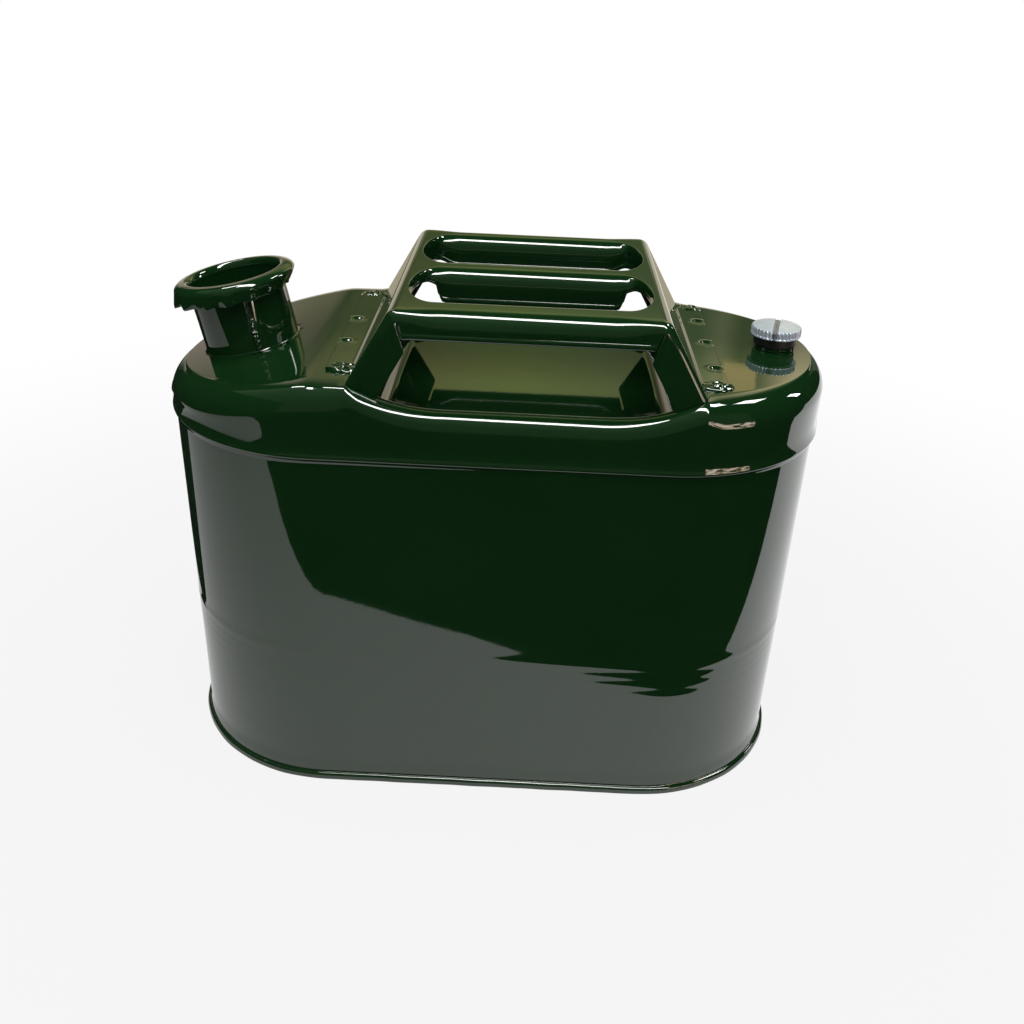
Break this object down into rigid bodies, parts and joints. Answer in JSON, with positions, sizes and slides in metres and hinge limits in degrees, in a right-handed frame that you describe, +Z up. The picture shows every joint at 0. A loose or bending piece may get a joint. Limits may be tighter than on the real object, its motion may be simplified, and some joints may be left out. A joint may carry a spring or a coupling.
{
  "type": "metal jerry can",
  "caption": "Low oval steel fuel can with a pressed hand well, a slotted bar handle, a leaning filler neck with a rolled collar and a knurled vent screw.",
  "frame": {"origin": "middle of the foot rim, on the surface that the can stands on", "axes": "+X along the long side from the filler neck to the vent screw, +Y from the front long side to the back, +Z up"},
  "size_m": [0.346, 0.174, 0.27],
  "materials": {
    "green_enamel": "thick high-gloss dark green stoving enamel on steel sheet",
    "painted_weld": "rough weld metal under the same dark green enamel, glossy on the lumps",
    "black_rubber": "black moulded rubber with a dull sheen",
    "zinc_plate": "bright zinc-plated turned steel with a knurled edge",
    "plain_steel": "plain turned steel, never seen from outside"
  },
  "bodies": {
    "can": {"body_wall": "green_enamel", "body_seam_weld": "green_enamel", "bottom_pan": "green_enamel", "top_cover": "green_enamel", "carry_handle": "green_enamel", "handle_weld_front_left": "painted_weld", "handle_weld_rear_left": "painted_weld", "handle_weld_front_right": "painted_weld", "handle_weld_rear_right": "painted_weld", "filler_neck": "green_enamel", "neck_collar": "green_enamel", "neck_root_weld": "painted_weld", "neck_seam_weld": "painted_weld", "vent_boss": "green_enamel"},
    "vent_washer": {"vent_washer": "black_rubber"},
    "vent_screw": {"vent_screw": "zinc_plate", "vent_stop_ring": "plain_steel"}
  },
  "joints": [
    {"name": "vent_lift", "type": "slide", "parent": "can", "child": "vent_washer", "axis": [0, 0, 1], "range_m": [0, 0.006]},
    {"name": "vent_turn", "type": "hinge", "parent": "vent_washer", "child": "vent_screw", "pos_m": [0.1455, 0.003, 0.234], "axis": [0, 0, 1], "range_deg": [0, 1440]}
  ],
  "couplings": [
    {"joint": "vent_turn", "follows": "vent_lift", "rad_per_m": 4188.7}
  ]
}
